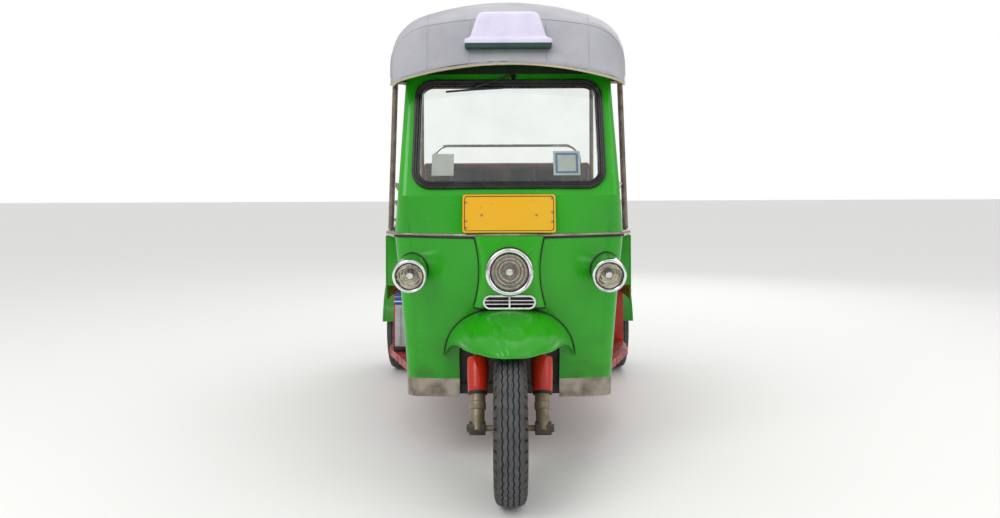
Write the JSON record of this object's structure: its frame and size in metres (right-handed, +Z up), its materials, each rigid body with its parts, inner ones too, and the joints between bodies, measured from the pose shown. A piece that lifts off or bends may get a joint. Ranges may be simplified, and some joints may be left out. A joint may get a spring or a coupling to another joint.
{
  "type": "auto rickshaw",
  "caption": "Open motor auto rickshaw with a closed front, a domed canopy on posts, a rear passenger bench and a steered front wheel.",
  "frame": {"origin": "on the ground, under the middle of the vehicle's box", "axes": "-Y forwards, +X to the vehicle's left, +Z up"},
  "size_m": [1.41, 2.8, 1.9118],
  "materials": {
    "green_paint": "gloss enamel, scratched and dented",
    "dark_green_paint": "satin enamel",
    "red_paint": "gloss enamel, chipped",
    "black_paint": "satin enamel",
    "grey_paint": "dull enamel, dirty",
    "chrome": "plated, lightly pitted",
    "steel_tube": "worn tube",
    "dirty_steel": "oily and dusty",
    "tyre": "worn rubber",
    "rubber": "moulded section",
    "glass": "clear, dusty",
    "lens": "fluted, clear",
    "red_lens": "moulded red",
    "plate": "embossed edge, blank",
    "sign": "moulded translucent white, blank",
    "canopy_vinyl": "coated grey cloth with cream piping",
    "seat_vinyl": "grained vinyl with red stripe",
    "battery_case": "moulded, dusty"
  },
  "bodies": {
    "chassis": {"chassis_frame": "black_paint", "front_shell": "green_paint", "nose_panel": "green_paint", "front_mudguard": "green_paint", "sill_strip": "grey_paint", "windscreen_surround": "green_paint", "windscreen_gasket": "rubber", "windscreen_glass": "glass", "dash_shelf": "black_paint", "nose_grille": "chrome", "number_plates": "plate", "roof_sign": "sign", "roof_frame": "steel_tube", "canopy": "canopy_vinyl", "side_guards": "steel_tube", "rear_fenders": "green_paint", "backrest_rail": "chrome", "scroll_panels": "chrome", "rear_axle": "dirty_steel", "leaf_springs": "dirty_steel", "propshaft": "dirty_steel", "exhaust": "dirty_steel", "tail_lamps": "red_lens", "rear_bumper": "chrome", "wiper": "black_paint", "lamp_housings": "chrome", "lamp_lenses": "lens", "cab_floor": "red_paint", "rear_floor": "red_paint", "side_panel_left_front": "green_paint", "side_panel_left_rear": "green_paint", "side_panel_right": "green_paint", "rear_panel": "green_paint", "seat_base": "red_paint", "seat_cushion": "seat_vinyl", "seat_backrest": "seat_vinyl", "driver_seat_box": "black_paint", "driver_cushion": "seat_vinyl", "driver_backrest": "seat_vinyl", "engine_block": "dirty_steel", "battery_box": "battery_case", "header_panel": "dark_green_paint"},
    "fork": {"fork_yoke": "red_paint", "fork_uppers": "red_paint", "fork_lowers": "steel_tube", "handlebar": "black_paint"},
    "front_wheel": {"front_tyre": "tyre", "front_rim": "grey_paint"},
    "rear_left_wheel": {"rear_left_tyre": "tyre", "rear_left_rim": "grey_paint"},
    "rear_right_wheel": {"rear_right_tyre": "tyre", "rear_right_rim": "grey_paint"}
  },
  "joints": [
    {"name": "steering", "type": "hinge", "parent": "chassis", "child": "fork", "pos_m": [0, -1.11405, 0.23247], "axis": [0, 0.4384, 0.8988], "range_deg": [-38, 38]},
    {"name": "front_wheel_spin", "type": "hinge", "parent": "fork", "child": "front_wheel", "pos_m": [0, -1.15, 0.25], "axis": [1, 0, 0], "continuous": true},
    {"name": "rear_left_wheel_spin", "type": "hinge", "parent": "chassis", "child": "rear_left_wheel", "pos_m": [0.62, 0.95, 0.265], "axis": [1, 0, 0], "continuous": true},
    {"name": "rear_right_wheel_spin", "type": "hinge", "parent": "chassis", "child": "rear_right_wheel", "pos_m": [-0.62, 0.95, 0.265], "axis": [1, 0, 0], "continuous": true}
  ]
}
